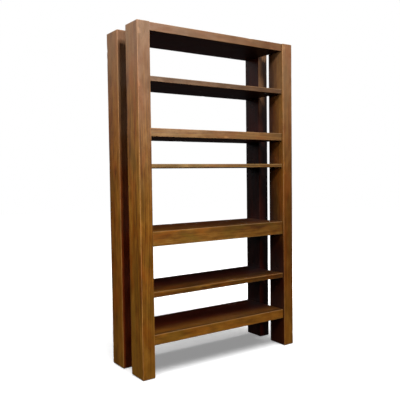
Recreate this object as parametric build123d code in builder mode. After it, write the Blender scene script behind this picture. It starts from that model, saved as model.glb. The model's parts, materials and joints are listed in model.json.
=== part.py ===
"""Freestanding open bookcase: four thick posts, four fixed shelves and three adjustable shelves.

Millimetres. +Z is up, +X is to the right and -Y is the front. The origin is on the floor, at the
centre of the footprint. Left and right, front and back are mirror images.
"""
import os

from build123d import *

os.makedirs("parts", exist_ok=True)

# ---- driving dimensions -------------------------------------------------------------------------

HEIGHT = 2000.0
WIDTH = 1150.0
POST_WIDTH = 80.0  # along X
POST_DEPTH = 140.0  # along Y
POST_GAP = 105.0  # open gap between the front and the rear post of one side
SHELF_SETBACK = 10.0  # shelf edges stand back from the outer faces of the posts
GLIDE_HEIGHT = 3.0  # how far the glides hold the posts off the floor

# Fixed shelves: height of the top face, and thickness seen from the front.
TOP_SHELF_TOP = HEIGHT
UPPER_FIXED_TOP = 1417.0
SLAB_THICKNESS = 48.0
MIDDLE_FIXED_TOP = 835.0
MIDDLE_FIXED_THICKNESS = 85.0
BOTTOM_SHELF_TOP = 246.0
BOTTOM_SHELF_THICKNESS = 60.0

# Adjustable shelves: height of the underside, which lies on the pins, and thickness.
ADJUSTABLE_SHELVES = {
    "upper": (1675.0, 30.0),
    "middle": (1194.0, 22.0),
    "lower": (459.0, 32.0),
}
SHELF_END_CLEARANCE = 1.5  # at each end of an adjustable shelf

# Shelf pins and the short rows of holes that make each shelf adjustable.
PIN_RADIUS = 3.0
PIN_SHANK = 16.0  # length inside the post
PIN_HEAD_RADIUS = 5.0
PIN_HEAD = 13.0  # length under the shelf
PIN_FLAT = 4.0  # height of the flat on the head above the pin's axis
SHAFT_FIT = 0.05  # radial clearance of pins, dowels and studs in their holes
HOLE_DEPTH = 20.0
HOLE_PITCH = 32.0
HOLES_EACH_SIDE = 2  # spare holes above and below the one in use

# Built-up shelves: a panel held by tongues between a front and a rear rail, on cross bearers.
RAIL_THICKNESS = 30.0
PANEL_THICKNESS = 28.0
BEARER_THICKNESS = 30.0
TONGUE = 10.0
TONGUE_THICKNESS = 9.0
TONGUE_CLEARANCE = 0.2

# Blind joints between the fixed shelves and the posts.
DOWEL_RADIUS = 5.0
DOWEL_LENGTH = 60.0
DOWEL_SPACING = 70.0  # of the two dowels beside a stud in a solid slab
RAIL_DOWEL_LEVELS = (0.26, 0.74)  # of the two dowels in a rail, as shares of its height
RAIL_DOWEL_SHIFT = 2.5  # outwards from the middle of the rail, clear of the groove
BORE_EXTRA = 1.0  # a blind bore is this much deeper than what goes in it
STUD_RADIUS = 4.0
STUD_IN_POST = 45.0
NUT_FLATS = 13.0
NUT_THICKNESS = 6.5
WASHER_RADIUS = 9.0
WASHER_THICKNESS = 1.6
STUD_TAIL = 3.0  # thread showing past the nut
POCKET_RADIUS = 15.0
POCKET_DEPTH = 36.0
POCKET_FROM_END = 40.0
CRESCENT_HEIGHT = 18.0
CRESCENT_THICKNESS = 8.0
HARDWARE_CLEARANCE = 0.1
BORE_CLEARANCE = 0.5

GLIDE_RADIUS = 11.0
GLIDE_SPACING = 90.0

POST_ROUND = 3.0
SHELF_ROUND = 2.5
END_ROUND = 1.5
METAL_CHAMFER = 0.6
DOWEL_CHAMFER = 1.0
GLIDE_ROUND = 1.2

# ---- worked out from them -----------------------------------------------------------------------

SIDES = {"left": -1, "right": 1}
FACES = {"front": -1, "rear": 1}

DEPTH = 2 * POST_DEPTH + POST_GAP
HALF_SPAN = WIDTH / 2 - POST_WIDTH  # inner faces of the posts
POST_Y = (POST_GAP + POST_DEPTH) / 2  # centre line of a post
SHELF_DEPTH = DEPTH - 2 * SHELF_SETBACK
RAIL_Y = (SHELF_DEPTH - RAIL_THICKNESS) / 2  # centre line of a rail
PANEL_DEPTH = SHELF_DEPTH - 2 * RAIL_THICKNESS

SLABS = {
    "top": (TOP_SHELF_TOP, SLAB_THICKNESS),
    "upper_fixed": (UPPER_FIXED_TOP, SLAB_THICKNESS),
}
BUILT_UP = {
    "middle_fixed": (MIDDLE_FIXED_TOP, MIDDLE_FIXED_THICKNESS),
    "bottom": (BOTTOM_SHELF_TOP, BOTTOM_SHELF_THICKNESS),
}


def slab_stud_height(top, thickness):
    """The stud of a solid slab is at the middle of its thickness."""
    return top - thickness / 2


def bearer_stud_height(top, thickness):
    """The stud of a built-up shelf is at the middle of its end bearer."""
    return top - (PANEL_THICKNESS + thickness) / 2


def slab_dowels(top, thickness):
    """Dowel centres (y, z) at one end of a solid slab: two beside each stud."""
    height = slab_stud_height(top, thickness)
    return [
        (face * POST_Y + offset, height)
        for face in FACES.values()
        for offset in (-DOWEL_SPACING / 2, DOWEL_SPACING / 2)
    ]


def rail_dowels(top, thickness):
    """Dowel centres (y, z) at one end of a built-up shelf: two above each other in each rail."""
    return [
        (face * (RAIL_Y + RAIL_DOWEL_SHIFT), top - thickness * level)
        for face in FACES.values()
        for level in RAIL_DOWEL_LEVELS
    ]


DOWELS = {name: slab_dowels(*size) for name, size in SLABS.items()}
DOWELS |= {name: rail_dowels(*size) for name, size in BUILT_UP.items()}
STUD_HEIGHTS = {name: slab_stud_height(*size) for name, size in SLABS.items()}
STUD_HEIGHTS |= {name: bearer_stud_height(*size) for name, size in BUILT_UP.items()}
STUDS = {
    name: [(face * POST_Y, height) for face in FACES.values()]
    for name, height in STUD_HEIGHTS.items()
}
PIN_HEIGHTS = {name: under - PIN_FLAT for name, (under, _) in ADJUSTABLE_SHELVES.items()}


def side_plane(side, inset=0.0):
    """Plane on the inner face of one side's posts, moved inwards by inset, facing into the posts."""
    return Plane(origin=(side * (HALF_SPAN - inset), 0, 0), x_dir=(0, side, 0), z_dir=(side, 0, 0))


def on_side(side, centres):
    """Centres (y, z) in the coordinates of side_plane."""
    return [(side * y, z) for y, z in centres]


def save(builder, name):
    builder.part.label = name
    export_step(builder.part, f"parts/{name}.step")


# ---- posts --------------------------------------------------------------------------------------


def pin_holes(face):
    """Pin-hole centres (y, z) on the centre line of a front or rear post."""
    steps = range(-HOLES_EACH_SIDE, HOLES_EACH_SIDE + 1)
    heights = [height + step * HOLE_PITCH for height in PIN_HEIGHTS.values() for step in steps]
    return [(face * POST_Y, height) for height in heights]


def on_face(face, joints):
    """The centres (y, z) of all fixed shelves' joints that are in a front or rear post."""
    return [(y, z) for centres in joints.values() for y, z in centres if y * face > 0]


def make_post(side_name, face_name):
    """A solid post with its shelf-pin holes and the blind bores of the fixed shelves' joints."""
    side = SIDES[side_name]
    face = FACES[face_name]
    post_x = side * (WIDTH - POST_WIDTH) / 2
    with BuildPart() as post:
        with BuildSketch(Plane((post_x, face * POST_Y, GLIDE_HEIGHT))):
            Rectangle(POST_WIDTH, POST_DEPTH)
        extrude(amount=HEIGHT - GLIDE_HEIGHT)
        fillet(post.edges(), POST_ROUND)
        with BuildSketch(side_plane(side)):
            with Locations(*on_side(side, pin_holes(face))):
                Circle(PIN_RADIUS + SHAFT_FIT)
        extrude(amount=HOLE_DEPTH, mode=Mode.SUBTRACT)
        with BuildSketch(side_plane(side)):
            with Locations(*on_side(side, on_face(face, DOWELS))):
                Circle(DOWEL_RADIUS + SHAFT_FIT)
        extrude(amount=DOWEL_LENGTH / 2 + BORE_EXTRA, mode=Mode.SUBTRACT)
        with BuildSketch(side_plane(side)):
            with Locations(*on_side(side, on_face(face, STUDS))):
                Circle(STUD_RADIUS + SHAFT_FIT)
        extrude(amount=STUD_IN_POST + BORE_EXTRA, mode=Mode.SUBTRACT)
    save(post, f"post_{face_name}_{side_name}")


for side_name in SIDES:
    for face_name in FACES:
        make_post(side_name, face_name)

# Nail-on glides: two low rounded discs under each post.
with BuildPart() as glides:
    with BuildSketch(Plane.XY):
        for side in SIDES.values():
            for face in FACES.values():
                for offset in (-GLIDE_SPACING / 2, GLIDE_SPACING / 2):
                    with Locations((side * (WIDTH - POST_WIDTH) / 2, face * POST_Y + offset)):
                        Circle(GLIDE_RADIUS)
    extrude(amount=GLIDE_HEIGHT)
    fillet(glides.faces().filter_by(Axis.Z).group_by(Axis.Z)[0].edges(), GLIDE_ROUND)
save(glides, "floor_glides")

# ---- fixed shelves of solid slab -----------------------------------------------------------------


def bore_both_ends(centres, radius, depth):
    """Bore into both ends of the current part. Centres are (y, z)."""
    for side in SIDES.values():
        with BuildSketch(side_plane(side)) as bores:
            with Locations(*on_side(side, centres)):
                Circle(radius)
        extrude(bores.sketch, amount=-depth, mode=Mode.SUBTRACT)


def make_slab(name, top, thickness):
    """A solid slab whose studs end in round pockets, open on the underside."""
    with BuildPart() as slab:
        with BuildSketch(Plane.YZ.offset(-HALF_SPAN)):
            with Locations((0, top - thickness / 2)):
                RectangleRounded(SHELF_DEPTH, thickness, SHELF_ROUND)
        extrude(amount=2 * HALF_SPAN)
        bore_both_ends(DOWELS[name], DOWEL_RADIUS + SHAFT_FIT, DOWEL_LENGTH / 2 + BORE_EXTRA)
        bore_both_ends(STUDS[name], STUD_RADIUS + BORE_CLEARANCE, POCKET_FROM_END)
        with BuildSketch(Plane.XY.offset(top - thickness)):
            for side in SIDES.values():
                for face in FACES.values():
                    with Locations((side * (HALF_SPAN - POCKET_FROM_END), face * POST_Y)):
                        Circle(POCKET_RADIUS)
        extrude(amount=POCKET_DEPTH, mode=Mode.SUBTRACT)
    save(slab, f"{name}_shelf")


for name, (top, thickness) in SLABS.items():
    make_slab(name, top, thickness)

# ---- built-up fixed shelves ----------------------------------------------------------------------


def make_panel(name, top):
    """Panel with a tongue along its front and rear edges. Its top is flush with the rails."""
    with BuildPart() as panel:
        with BuildSketch(Plane.YZ.offset(-HALF_SPAN)):
            with Locations((0, top - PANEL_THICKNESS / 2)):
                Rectangle(PANEL_DEPTH, PANEL_THICKNESS)
                Rectangle(PANEL_DEPTH + 2 * TONGUE, TONGUE_THICKNESS)
        extrude(amount=2 * HALF_SPAN)
    save(panel, f"{name}_shelf_panel")


def make_rail(name, face_name, top, thickness):
    """Rail with rounded outer arrises and a groove for the panel's tongue."""
    face = FACES[face_name]
    groove_y = face * (PANEL_DEPTH / 2 + (TONGUE + TONGUE_CLEARANCE) / 2)
    with BuildPart() as rail:
        with BuildSketch(Plane.YZ.offset(-HALF_SPAN)) as profile:
            with Locations((face * RAIL_Y, top - thickness / 2)):
                Rectangle(RAIL_THICKNESS, thickness)
            outer_corners = profile.vertices().group_by(Axis.Y)[0 if face < 0 else -1]
            fillet(outer_corners, SHELF_ROUND)
            with Locations((groove_y, top - PANEL_THICKNESS / 2)):
                Rectangle(
                    TONGUE + TONGUE_CLEARANCE, TONGUE_THICKNESS + TONGUE_CLEARANCE, mode=Mode.SUBTRACT
                )
        extrude(amount=2 * HALF_SPAN)
        own_dowels = on_face(face, {name: DOWELS[name]})
        bore_both_ends(own_dowels, DOWEL_RADIUS + SHAFT_FIT, DOWEL_LENGTH / 2 + BORE_EXTRA)
    save(rail, f"{name}_shelf_{face_name}_rail")


def make_bearer(name, place, centre_x, top, thickness):
    """Cross bearer under the panel. The end bearers are drilled for the studs."""
    bearer_height = thickness - PANEL_THICKNESS
    with BuildPart() as bearer:
        with BuildSketch(Plane.XY.offset(top - thickness)):
            with Locations((centre_x, 0)):
                Rectangle(BEARER_THICKNESS, PANEL_DEPTH)
        extrude(amount=bearer_height)
        if centre_x:
            with BuildSketch(Plane.YZ.offset(centre_x)):
                with Locations(*STUDS[name]):
                    Circle(STUD_RADIUS + BORE_CLEARANCE)
            extrude(amount=BEARER_THICKNESS, both=True, mode=Mode.SUBTRACT)
    save(bearer, f"{name}_shelf_{place}_bearer")


for name, (top, thickness) in BUILT_UP.items():
    make_panel(name, top)
    for face_name in FACES:
        make_rail(name, face_name, top, thickness)
    for side_name, side in SIDES.items():
        make_bearer(name, side_name, side * (HALF_SPAN - BEARER_THICKNESS / 2), top, thickness)
    make_bearer(name, "centre", 0.0, top, thickness)

# ---- hidden joints -------------------------------------------------------------------------------


def make_dowels(name):
    """Wooden dowels, half in the shelf and half in the posts."""
    with BuildPart() as dowels:
        for side in SIDES.values():
            with BuildSketch(side_plane(side, DOWEL_LENGTH / 2)):
                with Locations(*on_side(side, DOWELS[name])):
                    Circle(DOWEL_RADIUS)
            extrude(amount=DOWEL_LENGTH)
        chamfer(dowels.edges().filter_by(GeomType.CIRCLE), DOWEL_CHAMFER)
    save(dowels, f"{name}_shelf_dowels")


def make_studs(name, nut_seat):
    """Threaded studs. nut_seat is how far inside the post's face each nut bears."""
    inner_end = nut_seat + NUT_THICKNESS + STUD_TAIL
    with BuildPart() as studs:
        for side in SIDES.values():
            with BuildSketch(side_plane(side, inner_end)):
                with Locations(*on_side(side, STUDS[name])):
                    Circle(STUD_RADIUS)
            extrude(amount=inner_end + STUD_IN_POST)
        chamfer(studs.edges().filter_by(GeomType.CIRCLE), METAL_CHAMFER)
    save(studs, f"{name}_shelf_studs")


def make_nuts(name, nut_seat):
    """Hexagon nuts on the studs."""
    with BuildPart() as nuts:
        for side in SIDES.values():
            with BuildSketch(side_plane(side, nut_seat + NUT_THICKNESS)):
                with Locations(*on_side(side, STUDS[name])):
                    RegularPolygon(NUT_FLATS / 2, 6, major_radius=False)
                    Circle(STUD_RADIUS + SHAFT_FIT, mode=Mode.SUBTRACT)
            extrude(amount=NUT_THICKNESS)
    save(nuts, f"{name}_shelf_nuts")


def make_flat_washers(name):
    """Flat washers on the inner faces of a built-up shelf's end bearers."""
    with BuildPart() as washers:
        for side in SIDES.values():
            with BuildSketch(side_plane(side, BEARER_THICKNESS + WASHER_THICKNESS)):
                with Locations(*on_side(side, STUDS[name])):
                    Circle(WASHER_RADIUS)
                    Circle(STUD_RADIUS + HARDWARE_CLEARANCE, mode=Mode.SUBTRACT)
            extrude(amount=WASHER_THICKNESS)
    save(washers, f"{name}_shelf_washers")


def make_crescent_washers(name):
    """Washers shaped to the round wall of a slab's pockets, with a flat face for the nut."""
    radius = POCKET_RADIUS - HARDWARE_CLEARANCE
    flat = radius - CRESCENT_THICKNESS  # distance of the flat face from the pocket's axis
    with BuildPart() as crescents:
        with BuildSketch(Plane.XY.offset(STUD_HEIGHTS[name] - CRESCENT_HEIGHT / 2)):
            for side in SIDES.values():
                pocket_x = side * (HALF_SPAN - POCKET_FROM_END)
                for face in FACES.values():
                    with Locations((pocket_x, face * POST_Y)):
                        Circle(radius)
                    with Locations((pocket_x + side * (flat - radius), face * POST_Y)):
                        Rectangle(2 * radius, 2 * radius, mode=Mode.SUBTRACT)
        extrude(amount=CRESCENT_HEIGHT)
        bore_both_ends(STUDS[name], STUD_RADIUS + HARDWARE_CLEARANCE, POCKET_FROM_END)
    save(crescents, f"{name}_shelf_crescent_washers")


POCKET_NUT_SEAT = POCKET_FROM_END - (POCKET_RADIUS - HARDWARE_CLEARANCE) + CRESCENT_THICKNESS
BEARER_NUT_SEAT = BEARER_THICKNESS + WASHER_THICKNESS

for name in SLABS:
    make_dowels(name)
    make_studs(name, POCKET_NUT_SEAT)
    make_crescent_washers(name)
    make_nuts(name, POCKET_NUT_SEAT)
for name in BUILT_UP:
    make_dowels(name)
    make_studs(name, BEARER_NUT_SEAT)
    make_flat_washers(name)
    make_nuts(name, BEARER_NUT_SEAT)

# ---- adjustable shelves and their pins -----------------------------------------------------------


def make_adjustable_shelf(name, under, thickness):
    """Loose board that lies on four pins."""
    half_length = HALF_SPAN - SHELF_END_CLEARANCE
    with BuildPart() as board:
        with BuildSketch(Plane.YZ.offset(-half_length)):
            with Locations((0, under + thickness / 2)):
                RectangleRounded(SHELF_DEPTH, thickness, SHELF_ROUND)
        extrude(amount=2 * half_length)
        fillet(board.faces().filter_by(Axis.X).edges(), END_ROUND)
    save(board, f"{name}_adjustable_shelf")


def make_pin(shelf_name, side_name, face_name):
    """Shelf pin: a round shank in the post, and a thicker head with a flat for the shelf."""
    side = SIDES[side_name]
    face = FACES[face_name]
    height = PIN_HEIGHTS[shelf_name]
    with BuildPart() as pin:
        with BuildSketch(side_plane(side, PIN_HEAD)):
            with Locations((side * face * POST_Y, height)):
                Circle(PIN_HEAD_RADIUS)
        extrude(amount=PIN_HEAD)
        with BuildSketch(side_plane(side)):
            with Locations((side * face * POST_Y, height)):
                Circle(PIN_RADIUS)
        extrude(amount=PIN_SHANK)
        chamfer(pin.faces().filter_by(Axis.X).sort_by(Axis.X)[0].edges(), METAL_CHAMFER)
        chamfer(pin.faces().filter_by(Axis.X).sort_by(Axis.X)[-1].edges(), METAL_CHAMFER)
        with BuildSketch(Plane((side * (HALF_SPAN - PIN_HEAD / 2), face * POST_Y, height + PIN_FLAT))):
            Rectangle(PIN_HEAD, 2 * PIN_HEAD_RADIUS)
        extrude(amount=PIN_HEAD_RADIUS, mode=Mode.SUBTRACT)
    save(pin, f"{shelf_name}_pin_{face_name}_{side_name}")


for name, (under, thickness) in ADJUSTABLE_SHELVES.items():
    make_adjustable_shelf(name, under, thickness)
    for side_name in SIDES:
        for face_name in FACES:
            make_pin(name, side_name, face_name)
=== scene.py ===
"""The looks of a bookcase of stained solid wood with adjustable shelves.

Metres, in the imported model's own frame: +X to the right, +Y to the back, +Z up, floor at 0.
"""

import json
import math
import random

import bmesh
import bpy
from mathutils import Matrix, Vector, noise

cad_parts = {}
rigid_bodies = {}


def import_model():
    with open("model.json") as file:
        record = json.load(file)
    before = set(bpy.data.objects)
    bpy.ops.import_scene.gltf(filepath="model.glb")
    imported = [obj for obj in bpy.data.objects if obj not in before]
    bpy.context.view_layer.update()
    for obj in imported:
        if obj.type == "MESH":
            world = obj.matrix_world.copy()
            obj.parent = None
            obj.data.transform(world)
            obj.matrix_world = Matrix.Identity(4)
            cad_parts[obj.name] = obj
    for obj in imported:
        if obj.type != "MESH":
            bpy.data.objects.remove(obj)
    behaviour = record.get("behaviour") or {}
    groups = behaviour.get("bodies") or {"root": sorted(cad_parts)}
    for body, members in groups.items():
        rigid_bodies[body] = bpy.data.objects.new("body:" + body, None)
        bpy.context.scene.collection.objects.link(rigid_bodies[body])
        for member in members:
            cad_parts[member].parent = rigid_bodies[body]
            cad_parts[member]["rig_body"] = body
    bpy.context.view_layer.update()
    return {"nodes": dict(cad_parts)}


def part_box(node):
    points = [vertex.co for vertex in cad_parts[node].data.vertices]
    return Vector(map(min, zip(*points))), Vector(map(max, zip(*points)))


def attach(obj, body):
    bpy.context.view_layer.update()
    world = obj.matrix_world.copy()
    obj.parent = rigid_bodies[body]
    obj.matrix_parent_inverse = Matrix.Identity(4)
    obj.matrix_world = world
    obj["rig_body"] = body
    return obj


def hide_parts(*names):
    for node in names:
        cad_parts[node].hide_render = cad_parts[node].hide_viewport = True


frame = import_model()

MM = 0.001
AXES = "xyz"

# ---- camera and light ----------------------------------------------------------------------------

# The camera stands where the bookcase's edges fall on those of the photo.
CAMERA_PLACE = (-1.9991, -2.8493, 1.1547)
CAMERA_TURN = (87.294, 0.759, -34.51)  # degrees, about X, Y and Z
CAMERA_LENS = 49.09  # mm, on a sensor 36 mm wide

# Soft boxes: where each stands, its width and height, and its power in watts.
KEY_PLACE = (-0.7, -2.9, 3.75)
KEY_SIZE = (0.8, 0.8)
KEY_POWER = 145.0
FAR_FILL_PLACE = (-0.6, -5.0, 2.3)
FAR_FILL_SIZE = (1.6, 1.0)
FAR_FILL_POWER = 140.0
OVERHEAD_PLACE = (-0.5, -1.2, 5.0)
OVERHEAD_SIZE = (4.4, 4.4)
OVERHEAD_POWER = 540.0
SIDE_PLACE = (-3.0, -0.27, 2.1)
SIDE_SIZE = (0.3, 0.9)
SIDE_POWER = 50.0
REAR_PLACE = (2.5, 2.6, 1.5)
REAR_SIZE = (1.4, 2.0)
REAR_POWER = 110.0

LIGHTS_AIM = (0.0, 0.0, 1.0)  # the point that each of them is turned to

# ---- boards --------------------------------------------------------------------------------------

POST_EASE = 4.0 * MM  # how far the worn arrises of the posts are rounded
SHELF_EASE = 3.3 * MM
END_EASE = 2.0 * MM  # at the sawn ends of a loose shelf
SPACING = 13.0 * MM  # between the points of a board's mesh
EASED_LINES = (1.6, 3.0)  # two more lines of points near an arris, in eased widths from the side
OVERHANG = 12.0 * MM  # past a side that keeps the face the frame gives it
LEAST_SINK = 0.08 * MM  # worn faces lie this far inside the frame's faces, or more
UNEVEN = 0.3 * MM  # how much further the faces sink in their hollows
UNEVEN_SCALE = 9.0  # hollows per metre, roughly
RUBBED = 0.45  # how much rounder the most rubbed stretches of an arris are
RUBBED_SCALE = 14.0  # rubbed stretches per metre, roughly
DENTS = (5, 9)  # fewest and most on one board
DENT_REACH = (9, 26)  # mm
DENT_DEPTH = (0.5, 1.7)  # mm
ARC_ANGLES = (45, 30, 15, 0)  # degrees, half of an eased arris
SHARP_ANGLE = 38  # degrees, above which an edge is shaded sharp
STAVE = 88.0 * MM  # the usual width of the staves that a wide board is glued from


def random_for(name):
    """The same random numbers for the same name in every run."""
    return random.Random(f"bookcase {name}")


# ---- node patterns -------------------------------------------------------------------------------


class Pattern:
    """Adds shader nodes to one tree. Each method returns the socket that holds its result."""

    def __init__(self, tree):
        self.tree = tree

    def node(self, kind, inputs, output=0, **settings):
        made = self.tree.nodes.new("ShaderNode" + kind)
        for key, value in settings.items():
            setattr(made, key, value)
        for key, value in inputs.items():
            if isinstance(value, bpy.types.NodeSocket):
                self.tree.links.new(value, made.inputs[key])
            else:
                made.inputs[key].default_value = value
        return made.outputs[output]

    def math(self, operation, a, b=0.0):
        return self.node("Math", {0: a, 1: b}, operation=operation)

    def add(self, a, b):
        return self.math("ADD", a, b)

    def take(self, a, b):
        return self.math("SUBTRACT", a, b)

    def times(self, a, b):
        return self.math("MULTIPLY", a, b)

    def least(self, a, b):
        return self.math("MINIMUM", a, b)

    def most(self, a, b):
        return self.math("MAXIMUM", a, b)

    def spread(self, value, low, high, to_low=0.0, to_high=1.0):
        """value from low to high becomes to_low to to_high, with soft ends."""
        inputs = {"Value": value, "From Min": low, "From Max": high, "To Min": to_low, "To Max": to_high}
        return self.node("MapRange", inputs, interpolation_type="SMOOTHSTEP")

    def sway(self, value, pattern, amount):
        """value, moved by up to half the amount either way as the pattern goes from 0 to 1."""
        return self.add(value, self.times(self.take(pattern, 0.5), amount))

    def absolute(self, value):
        return self.math("ABSOLUTE", value)

    def scaled(self, place, scales):
        """The vector of three coordinates, each multiplied by its own scale."""
        x, y, z = [self.times(part, scale) for part, scale in zip(place, scales)]
        return self.node("CombineXYZ", {0: x, 1: y, 2: z})

    def parts(self, vector):
        split = self.tree.nodes.new("ShaderNodeSeparateXYZ")
        self.tree.links.new(vector, split.inputs[0])
        return list(split.outputs)

    def noise(self, vector, detail=2.0, roughness=0.5, distortion=0.0):
        inputs = {
            "Vector": vector,
            "Scale": 1.0,
            "Detail": detail,
            "Roughness": roughness,
            "Distortion": distortion,
        }
        return self.node("TexNoise", inputs)

    def noise_along(self, value, detail=1.0):
        return self.node("TexNoise", {"W": value, "Scale": 1.0, "Detail": detail}, noise_dimensions="1D")

    def chances(self, value):
        """Three random numbers that stay the same while value does."""
        colour = self.node("TexWhiteNoise", {"W": value}, output="Color", noise_dimensions="1D")
        return self.parts(colour)

    def mix(self, share, a, b, mode="MIX"):
        return self.node("Mix", {0: share, 6: a, 7: b}, 2, data_type="RGBA", blend_type=mode)

    def cover(self, share, colour, paint):
        """colour, with paint over it as far as share says."""
        return self.mix(share, colour, (*paint, 1.0))

    def tint(self, share, colour, tone):
        """colour, multiplied by tone as far as share says."""
        return self.mix(share, colour, (*tone, 1.0), mode="MULTIPLY")

    def ramp(self, value, stops):
        """stops is [(place, colour)], with places from 0 to 1."""
        made = self.tree.nodes.new("ShaderNodeValToRGB")
        self.tree.links.new(value, made.inputs[0])
        elements = made.color_ramp.elements
        while len(elements) < len(stops):
            elements.new(0.5)
        for element, (place, colour) in zip(elements, stops):
            element.position = place
            element.color = (*colour, 1.0)
        return made.outputs[0]


def new_material(name):
    """(material, its Pattern, its Principled shader)."""
    material = bpy.data.materials.new(name)
    material.use_nodes = True
    tree = material.node_tree
    shader = next(n for n in tree.nodes if n.type == "BSDF_PRINCIPLED")
    return material, Pattern(tree), shader


def finish_material(pattern, shader, colour, roughness, height, depth):
    """Links a pattern to the shader. height is bumped, depth metres high."""
    link = pattern.tree.links.new
    link(colour, shader.inputs["Base Color"])
    link(roughness, shader.inputs["Roughness"])
    bump = pattern.node("Bump", {"Strength": 0.6, "Distance": depth, "Height": height})
    link(bump, shader.inputs["Normal"])


# ---- stained wood --------------------------------------------------------------------------------

RING = 4.2 * MM  # width of a growth ring
RING_WOBBLE = 7.0 * MM
PITH_ASIDE = 70.0 * MM  # how much the trees' pith differs sideways from stave to stave
PITH_BEHIND = 45.0 * MM  # how far behind the middle of a stave the nearest pith is
PITH_DEEPER = 90.0 * MM  # how much further behind the farthest one is
PITH_WANDERS = 35.0 * MM  # sideways along a stave
PITH_RISES = 50.0 * MM
SEAM = 0.6 * MM  # half the dark line where two staves meet
POST_FACE = 0.495  # from the middle plane to the inner faces of the posts

# How fine each pattern is, per metre: across the grain, through the board and along the grain
WOBBLES = (22.0, 22.0, 3.0)
KNOTS = (12.0, 12.0, 5.0)
FIBRES = (620.0, 620.0, 9.0)
STREAKS = (130.0, 130.0, 2.4)
PORES = (950.0, 950.0, 55.0)
MOTTLES = (15.0, 15.0, 4.5)
BLOTCHES = (38.0, 38.0, 13.0)
RUBS = (45.0, 45.0, 45.0)  # along X, Y and Z

DARK_STAIN = (0.085, 0.024, 0.0016)
MIDDLE_STAIN = (0.215, 0.073, 0.0045)
LIGHT_STAIN = (0.350, 0.148, 0.016)
RUST = (0.300, 0.073, 0.0030)
OLIVE = (0.140, 0.068, 0.0035)
# painted sheen: the paler, greyer tone laid over the stain where the light is brightest
PAINTED_SHEEN_TONE = (0.330, 0.205, 0.135)
# partly worn stain, partly a painted highlight on the arrises
WORN_AND_HIGHLIGHT = (0.46, 0.27, 0.13)
PORE = (0.028, 0.009, 0.001)
STAIN_STOPS = [(0.14, DARK_STAIN), (0.48, MIDDLE_STAIN), (0.86, LIGHT_STAIN)]

# How much each pattern moves the tone of the stain, the roughness, and the height of the surface
TONE_SWAYS = {"band": 1.1, "streak": 0.65, "fibre": 0.5, "blotch": 0.75, "stave": 0.25}
TONE_LOSSES = {"late": 0.16, "halo": 0.22}
PLAIN_ROUGHNESS = 0.43
ROUGHNESS_SWAYS = {"blotch": 0.22, "fibre": 0.14}
ROUGHNESS_GAINS = {"pore": 0.2, "sawn": 0.15}
HEIGHT_GAINS = {"fibre": 0.45, "late": 0.22, "pore": -0.9, "seam": -0.8}
RELIEF = 0.35 * MM

SHEEN_FROM, SHEEN_TO = 0.85, 2.0  # heights between which the painted sheen grows, making the stain paler
SHEEN_SIDE_FROM, SHEEN_SIDE_TO = 1.55, 1.97  # heights between which the painted sheen shows more on side faces
SCUFFED_FROM, SCUFFED_TO = 0.45, 0.05  # heights between which the stain is rubbed off at the feet

# Tones multiply the stain. They were chosen to bring the render near the photo's colours.
PAINTED_SHADE_TONE = (0.14, 0.040, 0.024)  # painted shade: the stain's tone where painted_shade() is 1
PAINTED_GAP_SHADE_TONE = (1.25, 0.50, 0.60)  # painted shade: a redder tone where painted_gap_shade() is 1
PAINTED_FALLOFF_TONE = (0.62, 0.55, 0.45)  # painted shade: darker low down on the right, where the light falls off
BOARD_TONES = {
    "post_rear_left": (0.92, 0.84, 0.70),
    "top_shelf": (0.90, 0.90, 0.92),
    "upper_adjustable_shelf": (0.70, 0.78, 0.88),
    "upper_fixed_shelf": (1.26, 1.46, 1.80),
    "middle_adjustable_shelf": (1.25, 1.65, 2.30),
    "middle_fixed_shelf_front_rail": (0.96, 1.16, 2.30),
    "lower_adjustable_shelf": (0.76, 0.80, 0.70),
    "bottom_shelf_front_rail": (0.88, 0.94, 1.10),
}
PLAIN_TONE = (1.0, 1.0, 1.0)  # of the other boards


def growth_rings(p, across, through, along, seed, stave_width):
    """(ring count, band tone, random number of the stave) of solid wood, glued from staves."""
    stave = p.math("FLOOR", p.math("DIVIDE", across, stave_width))
    one, two, three = p.chances(p.add(stave, seed))
    middle = p.times(p.add(stave, 0.5), stave_width)
    wander = p.take(p.noise_along(p.add(p.times(along, 1.1), p.times(three, 50.0))), 0.5)
    rise = p.take(p.noise_along(p.add(p.times(along, 0.8), p.times(one, 90.0))), 0.5)
    sideways = p.sway(p.take(across, middle), one, PITH_ASIDE)
    sideways = p.add(sideways, p.times(wander, PITH_WANDERS))
    deep = p.add(p.add(through, PITH_BEHIND), p.times(two, PITH_DEEPER))
    deep = p.add(deep, p.times(rise, PITH_RISES))
    radius = p.math("SQRT", p.add(p.times(sideways, sideways), p.times(deep, deep)))
    wobble = p.times(p.noise(p.scaled((across, through, along), WOBBLES)), RING_WOBBLE)
    rings = p.math("DIVIDE", p.add(radius, wobble), RING)
    band = p.noise_along(p.add(p.times(rings, 0.35), p.times(two, 70.0)), detail=2.0)
    return rings, band, three


def knots(p, place):
    """(the dark hearts, the darker wood around them) of a few small knots."""
    cells = {"Vector": p.scaled(place, KNOTS), "Scale": 1.0}
    distance = p.node("TexVoronoi", cells, output="Distance")
    chance = p.parts(p.node("TexVoronoi", cells, output="Color"))[0]
    has_knot = p.spread(chance, 0.74, 0.80)  # about one cell in four has one
    heart = p.times(p.spread(distance, 0.17, 0.06), has_knot)
    return heart, p.times(p.spread(distance, 0.42, 0.1), has_knot)


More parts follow.
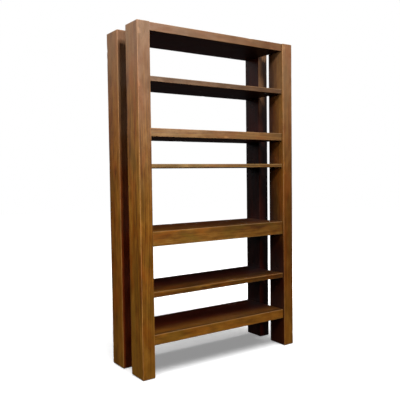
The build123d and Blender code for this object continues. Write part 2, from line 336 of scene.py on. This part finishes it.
def wood_patterns(p, across, through, along, seed, stave_width):
    """The patterns of one board's wood, by name. Each goes from 0 to 1."""
    rings, band, stave = growth_rings(p, across, through, along, seed, stave_width)
    place = (across, through, p.add(along, seed))
    heart, halo = knots(p, place)
    return {
        "band": band,
        "stave": stave,
        "late": p.math("POWER", p.math("FRACT", rings), 4.0),
        "heart": heart,
        "halo": halo,
        "fibre": p.noise(p.scaled(place, FIBRES), detail=3.0, roughness=0.6),
        "streak": p.noise(p.scaled(place, STREAKS), detail=3.0, roughness=0.55),
        "pore": p.spread(p.noise(p.scaled(place, PORES), detail=1.0), 0.63, 0.70),
        "mottle": p.noise(p.scaled(place, MOTTLES), detail=2.5, distortion=0.5),
        "blotch": p.noise(p.scaled(place, BLOTCHES)),
    }


def stain_on(p, wood):
    """The colour of the stain by the wood under it, with patches of rust and olive."""
    tone = 0.5
    for pattern, amount in TONE_SWAYS.items():
        tone = p.sway(tone, wood[pattern], amount)
    for pattern, amount in TONE_LOSSES.items():
        tone = p.take(tone, p.times(wood[pattern], amount))
    colour = p.ramp(tone, STAIN_STOPS)
    colour = p.cover(p.spread(wood["mottle"], 0.5, 0.70, 0.0, 0.55), colour, RUST)
    return p.cover(p.spread(wood["mottle"], 0.5, 0.32, 0.0, 0.5), colour, OLIVE)


def painted_sheen(p, wood, room, facing):
    """Painted sheen: how far the stain is made paler, most near the top and on the left, where the light
    is brightest, less on sides and tops.
    """
    painted_sheen_share = p.spread(room[2], SHEEN_FROM, SHEEN_TO, 0.0, 0.72)
    on_sides = p.spread(room[2], SHEEN_SIDE_FROM, SHEEN_SIDE_TO, 0.45, 0.85)
    painted_sheen_share = p.times(painted_sheen_share, p.spread(p.absolute(facing[0]), 0.3, 0.9, 1.0, on_sides))
    painted_sheen_share = p.times(painted_sheen_share, p.spread(facing[2], 0.5, 0.95, 1.0, 0.6))
    painted_sheen_share = p.times(painted_sheen_share, p.spread(room[0], -0.3, 0.58, 1.0, 0.6))
    return p.times(painted_sheen_share, p.spread(wood["blotch"], 0.35, 0.65, 0.7, 1.0))


def in_gap(p, room, facing):
    """1 on faces that look forward or back halfway into the depth, as between two posts."""
    between = p.spread(p.absolute(room[1]), 0.12, 0.07)
    return p.times(between, p.spread(p.absolute(facing[1]), 0.3, 0.95))


def painted_shade(p, room, facing):
    """Painted shade: how dark the stain is made by a face's place and direction, from 0 to 1.

    It darkens, as painted shade, the inner faces of the posts, the right-hand gap, the undersides of the
    shelves and the back of their tops, where shade falls; near the front of the inner faces, where light
    reaches, it is left lighter.
    """
    inward = p.spread(p.times(p.times(room[0], facing[0]), -1.0 / POST_FACE), 0.3, 0.95)
    lit_front = p.times(p.spread(room[1], -0.03, -0.16), p.spread(room[2], 0.62, 0.95, 0.05, 1.0))
    inward = p.times(inward, p.take(1.0, lit_front))
    painted_shade_low_right = p.times(p.spread(room[0], 0.0, 0.2), p.spread(room[2], 1.75, 1.5))
    gap = p.times(in_gap(p, room, facing), painted_shade_low_right)
    under = p.spread(facing[2], -0.5, -0.95)
    back = p.spread(room[1], -0.18, -0.01, 0.36, 1.0)
    over = p.times(p.spread(facing[2], 0.5, 0.95), p.spread(room[2], 1.99, 1.9))
    over = p.times(over, p.spread(room[2], 0.55, 0.8, 1.0, 0.8))
    return p.most(p.most(p.least(1.0, p.add(inward, gap)), under), p.times(over, back))


def painted_gap_shade(p, room, facing, arris):
    """Where a redder painted shade goes: 1 low down between the posts, on the faces that look forward,
    away from their arrises.
    """
    low = p.times(in_gap(p, room, facing), p.spread(room[2], 1.5, 0.7))
    forward = p.times(low, p.spread(facing[1], 0.0, -0.5))
    return p.times(forward, p.spread(arris, 2.0 * MM, 9.0 * MM))


def rubbed_and_highlit_arrises(p, name, own, room, arris, seed):
    """Where the arrises are paler: partly the stain worn off, partly a painted highlight."""
    rub = p.noise(p.scaled((own[0], own[1], p.add(own[2], seed)), RUBS), detail=3.0, roughness=0.65)
    worn = p.spread(p.sway(arris, rub, 6.0 * MM), 4.4 * MM, 0.6 * MM)
    worn = p.times(worn, p.spread(rub, 0.34, 0.6, 0.45, 1.0))
    if name.startswith("post"):  # no wear or painted highlight on their inner arrises toward the back, which lie in shade
        inner = p.spread(p.absolute(room[0]), POST_FACE + 25 * MM, POST_FACE + 10 * MM)
        worn = p.times(worn, p.take(1.0, p.times(inner, p.spread(room[1], -0.1, -0.02))))
    return worn


def stained_wood(name, low, high, grain):
    """Stained and waxed solid wood for a board with this outline, with its grain along one axis."""
    material, p, shader = new_material(f"stained_wood_{name}")
    seed = random_for(name).uniform(0, 900)
    centre, half = (low + high) / 2, (high - low) / 2
    place = p.node("TexCoord", {}, output="Object")
    room = p.parts(place)
    own = p.parts(p.node("VectorMath", {0: place, 1: centre}, operation="SUBTRACT"))
    facing = p.parts(p.node("NewGeometry", {}, output="Normal"))
    thin_side, wide_side = sorted((i for i in range(3) if i != grain), key=lambda i: half[i])
    staves = max(1, round(2 * half[wide_side] / STAVE))
    stave_width = 2 * half[wide_side] / staves
    across = p.add(own[wide_side], stave_width / 2 if staves % 2 else 0.0)
    edges = [p.take(half[i], p.absolute(own[i])) for i in range(3)]
    arris = p.most(p.least(edges[0], edges[1]), p.least(p.most(edges[0], edges[1]), edges[2]))
    wood = wood_patterns(p, across, own[thin_side], own[grain], seed, stave_width)

    colour = stain_on(p, wood)
    # Painted sheen: paler, greyer stain near the top and on the left, where the light is brightest.
    colour = p.cover(painted_sheen(p, wood, room, facing), colour, PAINTED_SHEEN_TONE)
    colour = p.tint(1.0, colour, BOARD_TONES.get(name, PLAIN_TONE))
    # Painted shade: the stain darker low down and to the right, where the light falls off; on the posts
    # none at the top.
    at_top = 0.0 if name.startswith("post") else 0.8
    painted_shade_low_right = p.times(p.spread(room[0], -0.45, 0.58), p.spread(room[2], 2.0, 0.9, at_top, 1.0))
    colour = p.tint(painted_shade_low_right, colour, PAINTED_FALLOFF_TONE)
    scuffed = p.times(p.spread(room[2], SCUFFED_FROM, SCUFFED_TO, 0.0, 0.85), wood["blotch"])
    colour = p.cover(scuffed, colour, LIGHT_STAIN)
    colour = p.cover(p.times(p.most(wood["pore"], wood["heart"]), 0.55), colour, PORE)
    # Painted shade: the stain is darkened where shade falls, as painted_shade() says.
    shade = painted_shade(p, room, facing)
    colour = p.tint(shade, colour, PAINTED_SHADE_TONE)

    in_stave = p.math("FRACT", p.math("DIVIDE", across, stave_width))
    seam = p.spread(p.absolute(p.take(in_stave, 0.5)), 0.5 - SEAM / stave_width, 0.5, 0.0, 0.45)
    colour = p.cover(seam, colour, PORE)
    sawn = p.spread(p.absolute(facing[grain]), 0.6, 0.9)
    colour = p.cover(p.times(sawn, 0.5), colour, DARK_STAIN)
    # Painted shade: a redder tint low down between the posts, where shade falls.
    colour = p.tint(painted_gap_shade(p, room, facing, arris), colour, PAINTED_GAP_SHADE_TONE)
    # The paler arrises, partly wear and partly a painted highlight, leave out the painted shade.
    worn = p.times(rubbed_and_highlit_arrises(p, name, own, room, arris, seed), p.take(1.0, shade))
    colour = p.cover(p.times(worn, 0.45), colour, WORN_AND_HIGHLIGHT)

    surface = {**wood, "seam": seam, "sawn": sawn}
    roughness = PLAIN_ROUGHNESS
    for pattern, amount in ROUGHNESS_SWAYS.items():
        roughness = p.sway(roughness, surface[pattern], amount)
    for pattern, amount in ROUGHNESS_GAINS.items():
        roughness = p.add(roughness, p.times(surface[pattern], amount))
    height = 0.0
    for pattern, amount in HEIGHT_GAINS.items():
        height = p.add(height, p.times(surface[pattern], amount))
    finish_material(p, shader, colour, roughness, height, RELIEF)
    shader.inputs["Specular IOR Level"].default_value = 0.3
    shader.inputs["Coat Weight"].default_value = 0.08
    shader.inputs["Coat Roughness"].default_value = 0.32
    return material


# ---- worn boards ---------------------------------------------------------------------------------


def grid_lines(low, high, ease):
    """Where a board's mesh has points along one axis: close over its eased arrises, even between."""
    near = [ease * (1 - math.tan(math.radians(angle))) for angle in ARC_ANGLES]
    near += [ease * widths for widths in EASED_LINES]
    span = (high - low) - 2 * near[-1]
    count = max(2, round(span / SPACING))
    between = [near[-1] + span * i / count for i in range(1, count)]
    return [low + x for x in near + between] + [high - x for x in reversed(near)]


def dents_for(name, low, high, grain):
    """[(centre, reach, depth)] of small knocks on the long arrises."""
    chance = random_for(f"{name} dents")
    found = []
    for _ in range(chance.randint(*DENTS)):
        centre = Vector([chance.choice((low[i], high[i])) for i in range(3)])
        centre[grain] = chance.uniform(low[grain], high[grain])
        found.append((centre, chance.uniform(*DENT_REACH) * MM, chance.uniform(*DENT_DEPTH) * MM))
    return found


def worn_point(point, low, high, ease, dents, shift):
    """Moves a point of the square board onto the worn one, which lies just inside it."""
    rub = max(0.0, noise.noise(point * RUBBED_SCALE + shift))
    eased = ease * (1 + RUBBED * rub)
    core = Vector([min(max(point[i], low[i] + eased[i]), high[i] - eased[i]) for i in range(3)])
    out = Vector([(point[i] - core[i]) / eased[i] for i in range(3)]).normalized()
    sink = LEAST_SINK + UNEVEN * (0.5 + 0.5 * noise.noise(point * UNEVEN_SCALE - shift))
    for centre, reach, depth in dents:
        near = 1 - (point - centre).length_squared / reach**2
        if near > 0:
            sink += depth * near * near
    return core + Vector([out[i] * max(eased[i] - sink, 0.2 * eased[i]) for i in range(3)])


def worn_mesh(name, low, high, ease, grain):
    """A closed board of even squares with rounded, rubbed and dented arrises."""
    lines = [grid_lines(low[i], high[i], ease[i]) for i in range(3)]
    last = [len(places) - 1 for places in lines]
    dents = dents_for(name, low, high, grain)
    shift = Vector((random_for(name).uniform(-90, 90), 0, 0))
    points, numbers, faces = [], {}, []

    def number(key):
        if key not in numbers:
            numbers[key] = len(points)
            square = Vector([lines[i][key[i]] for i in range(3)])
            points.append(worn_point(square, low, high, ease, dents, shift))
        return numbers[key]

    for axis in range(3):
        u, v = (axis + 1) % 3, (axis + 2) % 3
        for end in (0, last[axis]):
            for i in range(last[u]):
                for j in range(last[v]):
                    corners = []
                    for du, dv in ((0, 0), (1, 0), (1, 1), (0, 1)):
                        key = [0, 0, 0]
                        key[axis], key[u], key[v] = end, i + du, j + dv
                        corners.append(number(tuple(key)))
                    faces.append(corners if end else corners[::-1])
    mesh = bpy.data.meshes.new(name)
    mesh.from_pydata(points, [], faces)
    return mesh


def closed_copy(node):
    """The frame's own mesh of a node, with its split corners joined."""
    work = bmesh.new()
    work.from_mesh(frame["nodes"][node].data)
    bmesh.ops.remove_doubles(work, verts=work.verts, dist=1e-6)
    mesh = bpy.data.meshes.new(f"{node}_closed")
    work.to_mesh(mesh)
    work.free()
    return mesh


def cut_to_frame(mesh, node):
    """What the worn board and the frame's solid share, so that each bore, groove and tongue stays."""
    worn = bpy.data.objects.new(f"{node}_worn", mesh)
    solid = bpy.data.objects.new(f"{node}_solid", closed_copy(node))
    for made in (worn, solid):
        bpy.context.scene.collection.objects.link(made)
    cut = worn.modifiers.new("bores", "BOOLEAN")
    cut.operation = "INTERSECT"
    cut.solver = "MANIFOLD"
    cut.object = solid
    graph = bpy.context.evaluated_depsgraph_get()
    result = bpy.data.meshes.new_from_object(worn.evaluated_get(graph), depsgraph=graph)
    for made in (worn, solid):
        bpy.data.objects.remove(made)
    return result


def make_board(node, kept_sides, ease):
    """Replaces a wooden node. kept_sides are those that keep the frame's own face, such as "-x"."""
    low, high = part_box(node)
    grain = max(range(3), key=lambda i: high[i] - low[i])
    for side in kept_sides:
        axis = AXES.index(side[1])
        if side[0] == "-":
            low[axis] -= OVERHANG
        else:
            high[axis] += OVERHANG
    mesh = worn_mesh(node, low, high, ease, grain)
    mesh = cut_to_frame(mesh, node)
    mesh.materials.clear()
    mesh.materials.append(stained_wood(node, low, high, grain))
    mesh.shade_smooth()
    mesh.set_sharp_from_angle(angle=math.radians(SHARP_ANGLE))
    board = bpy.data.objects.new(f"{node}_board", mesh)
    bpy.context.scene.collection.objects.link(board)
    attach(board, frame["nodes"][node]["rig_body"])
    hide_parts(node)


def make_boards():
    """A worn board for each node of stained wood. Where boards meet, the frame's faces are kept."""
    shelf = Vector((SHELF_EASE, SHELF_EASE, SHELF_EASE))
    post = Vector((POST_EASE, POST_EASE, POST_EASE))
    loose = Vector((END_EASE, SHELF_EASE, SHELF_EASE))
    inner_side = {"front": "+y", "rear": "-y"}
    for node, piece in frame["nodes"].items():
        if piece.data.materials[0].name != "stained_wood":
            continue
        if node.startswith("post"):
            make_board(node, (), post)
        elif node.endswith("rail"):
            face = "front" if "front" in node else "rear"
            make_board(node, ("-x", "+x", inner_side[face]), shelf)
        elif node.endswith("panel"):
            make_board(node, ("-x", "+x", "-y", "+y"), shelf)
        elif node.endswith("bearer"):
            make_board(node, ("-y", "+y", "+z"), loose)
        elif node.endswith("adjustable_shelf"):
            make_board(node, (), loose)
        else:
            make_board(node, ("-x", "+x"), shelf)


make_boards()

# ---- fittings ------------------------------------------------------------------------------------


def pin_brass():
    """Turned brass, dulled in patches."""
    material, p, shader = new_material("pin_brass_dulled")
    place = p.parts(p.node("TexCoord", {}, output="Object"))
    dull = p.noise(p.scaled(place, (160.0, 160.0, 160.0)), detail=3.0)
    turned = p.noise(p.scaled(place, (2600.0, 90.0, 90.0)), detail=1.0)
    colour = p.ramp(dull, [(0.3, (0.30, 0.17, 0.055)), (0.62, (0.62, 0.40, 0.14))])
    roughness = p.add(p.times(dull, -0.2), 0.46)
    finish_material(p, shader, colour, roughness, turned, 0.05 * MM)
    shader.inputs["Metallic"].default_value = 1.0
    return material


def zinc_steel():
    """Zinc-plated steel with a faint crystal pattern."""
    material, p, shader = new_material("zinc_steel_plated")
    place = p.node("TexCoord", {}, output="Object")
    crystals = p.node("TexVoronoi", {"Vector": place, "Scale": 620.0}, output="Color")
    flake = p.parts(crystals)[0]
    haze = p.node("TexNoise", {"Vector": place, "Scale": 140.0, "Detail": 3.0})
    colour = p.ramp(flake, [(0.0, (0.40, 0.41, 0.42)), (1.0, (0.60, 0.61, 0.60))])
    roughness = p.add(p.times(haze, 0.3), 0.2)
    finish_material(p, shader, colour, roughness, flake, 0.02 * MM)
    shader.inputs["Metallic"].default_value = 1.0
    return material


def dowel_wood():
    """Plain beech with fine flecks along X, the dowels' length."""
    material, p, shader = new_material("dowel_wood_beech")
    place = p.parts(p.node("TexCoord", {}, output="Object"))
    fleck = p.noise(p.scaled(place, (70.0, 900.0, 900.0)), detail=3.0)
    colour = p.ramp(fleck, [(0.3, (0.42, 0.25, 0.12)), (0.7, (0.62, 0.42, 0.23))])
    roughness = p.add(p.times(fleck, 0.2), 0.5)
    finish_material(p, shader, colour, roughness, fleck, 0.1 * MM)
    return material


def glide_plastic():
    """Dark moulded plastic, scuffed by the floor."""
    material, p, shader = new_material("glide_plastic_scuffed")
    place = p.node("TexCoord", {}, output="Object")
    grit = p.node("TexNoise", {"Vector": place, "Scale": 900.0, "Detail": 3.0})
    scuff = p.node("TexNoise", {"Vector": place, "Scale": 150.0, "Detail": 2.0})
    colour = p.ramp(scuff, [(0.35, (0.020, 0.015, 0.011)), (0.75, (0.060, 0.048, 0.038))])
    roughness = p.add(p.times(scuff, 0.35), 0.35)
    finish_material(p, shader, colour, roughness, grit, 0.06 * MM)
    return material


def finish_fittings():
    """Gives each small part that stays as the frame has it the finish of its slot."""
    finishes = {
        "pin_brass": pin_brass(),
        "zinc_steel": zinc_steel(),
        "dowel_wood": dowel_wood(),
        "glide_plastic": glide_plastic(),
    }
    for piece in frame["nodes"].values():
        kind = piece.data.materials[0].name
        if kind in finishes:
            piece.material_slots[0].material = finishes[kind]


finish_fittings()

# ---- floor, backdrop, light and camera -----------------------------------------------------------

FLOOR_RADIUS = 14.0
ROOM_RADIUS = 30.0
PLAIN_FROM, PLAIN_TO = 0.8, 2.2  # the floor's own glow rises to full white between these radii
FLOOR_GLOW = 0.28  # inside the smaller radius
FLOOR_TONE = 0.86
SKY = (0.93, 0.96, 1.0)
SKY_STRENGTH = 1.1
FAINT_STRENGTH = 0.035


def make_floor():
    """A pale floor that shows the bookcase's shadow, and can't be seen from below."""
    material, p, shader = new_material("pale_floor")
    place = p.parts(p.node("TexCoord", {}, output="Object"))
    radius = p.math("SQRT", p.add(p.times(place[0], place[0]), p.times(place[1], place[1])))
    glow = p.spread(radius, PLAIN_FROM, PLAIN_TO, FLOOR_GLOW, 1.0)
    shader.inputs["Base Color"].default_value = (FLOOR_TONE, FLOOR_TONE, FLOOR_TONE, 1)
    shader.inputs["Roughness"].default_value = 0.9
    shader.inputs["Specular IOR Level"].default_value = 0.1
    shader.inputs["Emission Color"].default_value = (1, 1, 1, 1)
    p.tree.links.new(glow, shader.inputs["Emission Strength"])
    clear = p.tree.nodes.new("ShaderNodeBsdfTransparent")
    under = p.node("NewGeometry", {}, output="Backfacing")
    both = p.node("MixShader", {0: under, 1: shader.outputs[0], 2: clear.outputs[0]})
    output = next(n for n in p.tree.nodes if n.type == "OUTPUT_MATERIAL")
    p.tree.links.new(both, output.inputs["Surface"])
    bpy.ops.mesh.primitive_circle_add(vertices=128, radius=FLOOR_RADIUS, fill_type="NGON")
    floor = bpy.context.object
    floor.name = "floor"
    floor.data.materials.append(material)
    floor.visible_diffuse = False
    floor.visible_glossy = False
    return floor


def make_backdrop():
    """A plain white surround that only the camera sees."""
    material, p = new_material("white_surround")[:2]
    glow = p.tree.nodes.new("ShaderNodeEmission")
    output = next(n for n in p.tree.nodes if n.type == "OUTPUT_MATERIAL")
    p.tree.links.new(glow.outputs[0], output.inputs["Surface"])
    bpy.ops.mesh.primitive_uv_sphere_add(segments=48, ring_count=24, radius=ROOM_RADIUS)
    room = bpy.context.object
    room.name = "surround"
    room.data.materials.append(material)
    for seen_by in ("diffuse", "glossy", "transmission", "volume_scatter", "shadow"):
        setattr(room, f"visible_{seen_by}", False)


def make_world():
    """What shiny surfaces reflect. It adds no diffuse light.

    It is bright high up on the left and in front, and faint low down on the other two sides.
    """
    world = bpy.data.worlds.new("studio")
    bpy.context.scene.world = world
    world.use_nodes = True
    p = Pattern(world.node_tree)
    east, north, up = p.parts(p.node("TexCoord", {}, output="Generated"))
    bright_side = p.spread(p.most(p.times(east, -1.0), p.times(north, -1.0)), 0.0, 0.5)
    high_up = p.times(p.spread(up, 0.05, 0.4, 0.0, SKY_STRENGTH), bright_side)
    low_down = p.spread(up, -0.08, -0.26, 0.0, FAINT_STRENGTH)
    low_down = p.times(low_down, p.take(1.0, bright_side))
    background = next(n for n in p.tree.nodes if n.type == "BACKGROUND")
    background.inputs["Color"].default_value = (*SKY, 1)
    p.tree.links.new(p.add(high_up, low_down), background.inputs["Strength"])
    world.cycles_visibility.diffuse = False


def lit_group(piece, state):
    """Objects for a light to reach: only this one (INCLUDE), or all but this one (EXCLUDE)."""
    group = bpy.data.collections.new(f"{state}_{piece.name}")
    group.objects.link(piece)
    group.collection_objects[0].light_linking.link_state = state
    return group


def make_light(name, place, size, power, reaches, glossy=False):
    """A soft box. size is (width, height), and glossy tells whether shiny surfaces show it."""
    data = bpy.data.lights.new(name, "AREA")
    data.shape = "RECTANGLE"
    data.size, data.size_y = size
    data.energy = power
    lamp = bpy.data.objects.new(name, data)
    lamp.location = place
    lamp.rotation_euler = (Vector(LIGHTS_AIM) - Vector(place)).to_track_quat("-Z", "Y").to_euler()
    lamp.visible_camera = False
    lamp.visible_glossy = glossy
    lamp.light_linking.receiver_collection = reaches
    bpy.context.scene.collection.objects.link(lamp)


def make_lights(floor):
    """Only the overhead light reaches the floor, and it reaches nothing else."""
    bookcase = lit_group(floor, "EXCLUDE")
    make_light("key", KEY_PLACE, KEY_SIZE, KEY_POWER, bookcase, glossy=True)
    make_light("far_fill", FAR_FILL_PLACE, FAR_FILL_SIZE, FAR_FILL_POWER, bookcase)
    make_light("side", SIDE_PLACE, SIDE_SIZE, SIDE_POWER, bookcase)
    make_light("rear", REAR_PLACE, REAR_SIZE, REAR_POWER, bookcase)
    make_light("overhead", OVERHEAD_PLACE, OVERHEAD_SIZE, OVERHEAD_POWER, lit_group(floor, "INCLUDE"))


def make_camera():
    """The photo's view of the bookcase."""
    data = bpy.data.cameras.new("camera")
    data.sensor_width = 36.0
    data.lens = CAMERA_LENS
    camera = bpy.data.objects.new("camera", data)
    camera.location = CAMERA_PLACE
    camera.rotation_euler = [math.radians(angle) for angle in CAMERA_TURN]
    bpy.context.scene.collection.objects.link(camera)
    bpy.context.scene.camera = camera


studio_floor = make_floor()
make_backdrop()
make_world()
make_lights(studio_floor)
make_camera()
bpy.context.scene.view_settings.view_transform = "Standard"
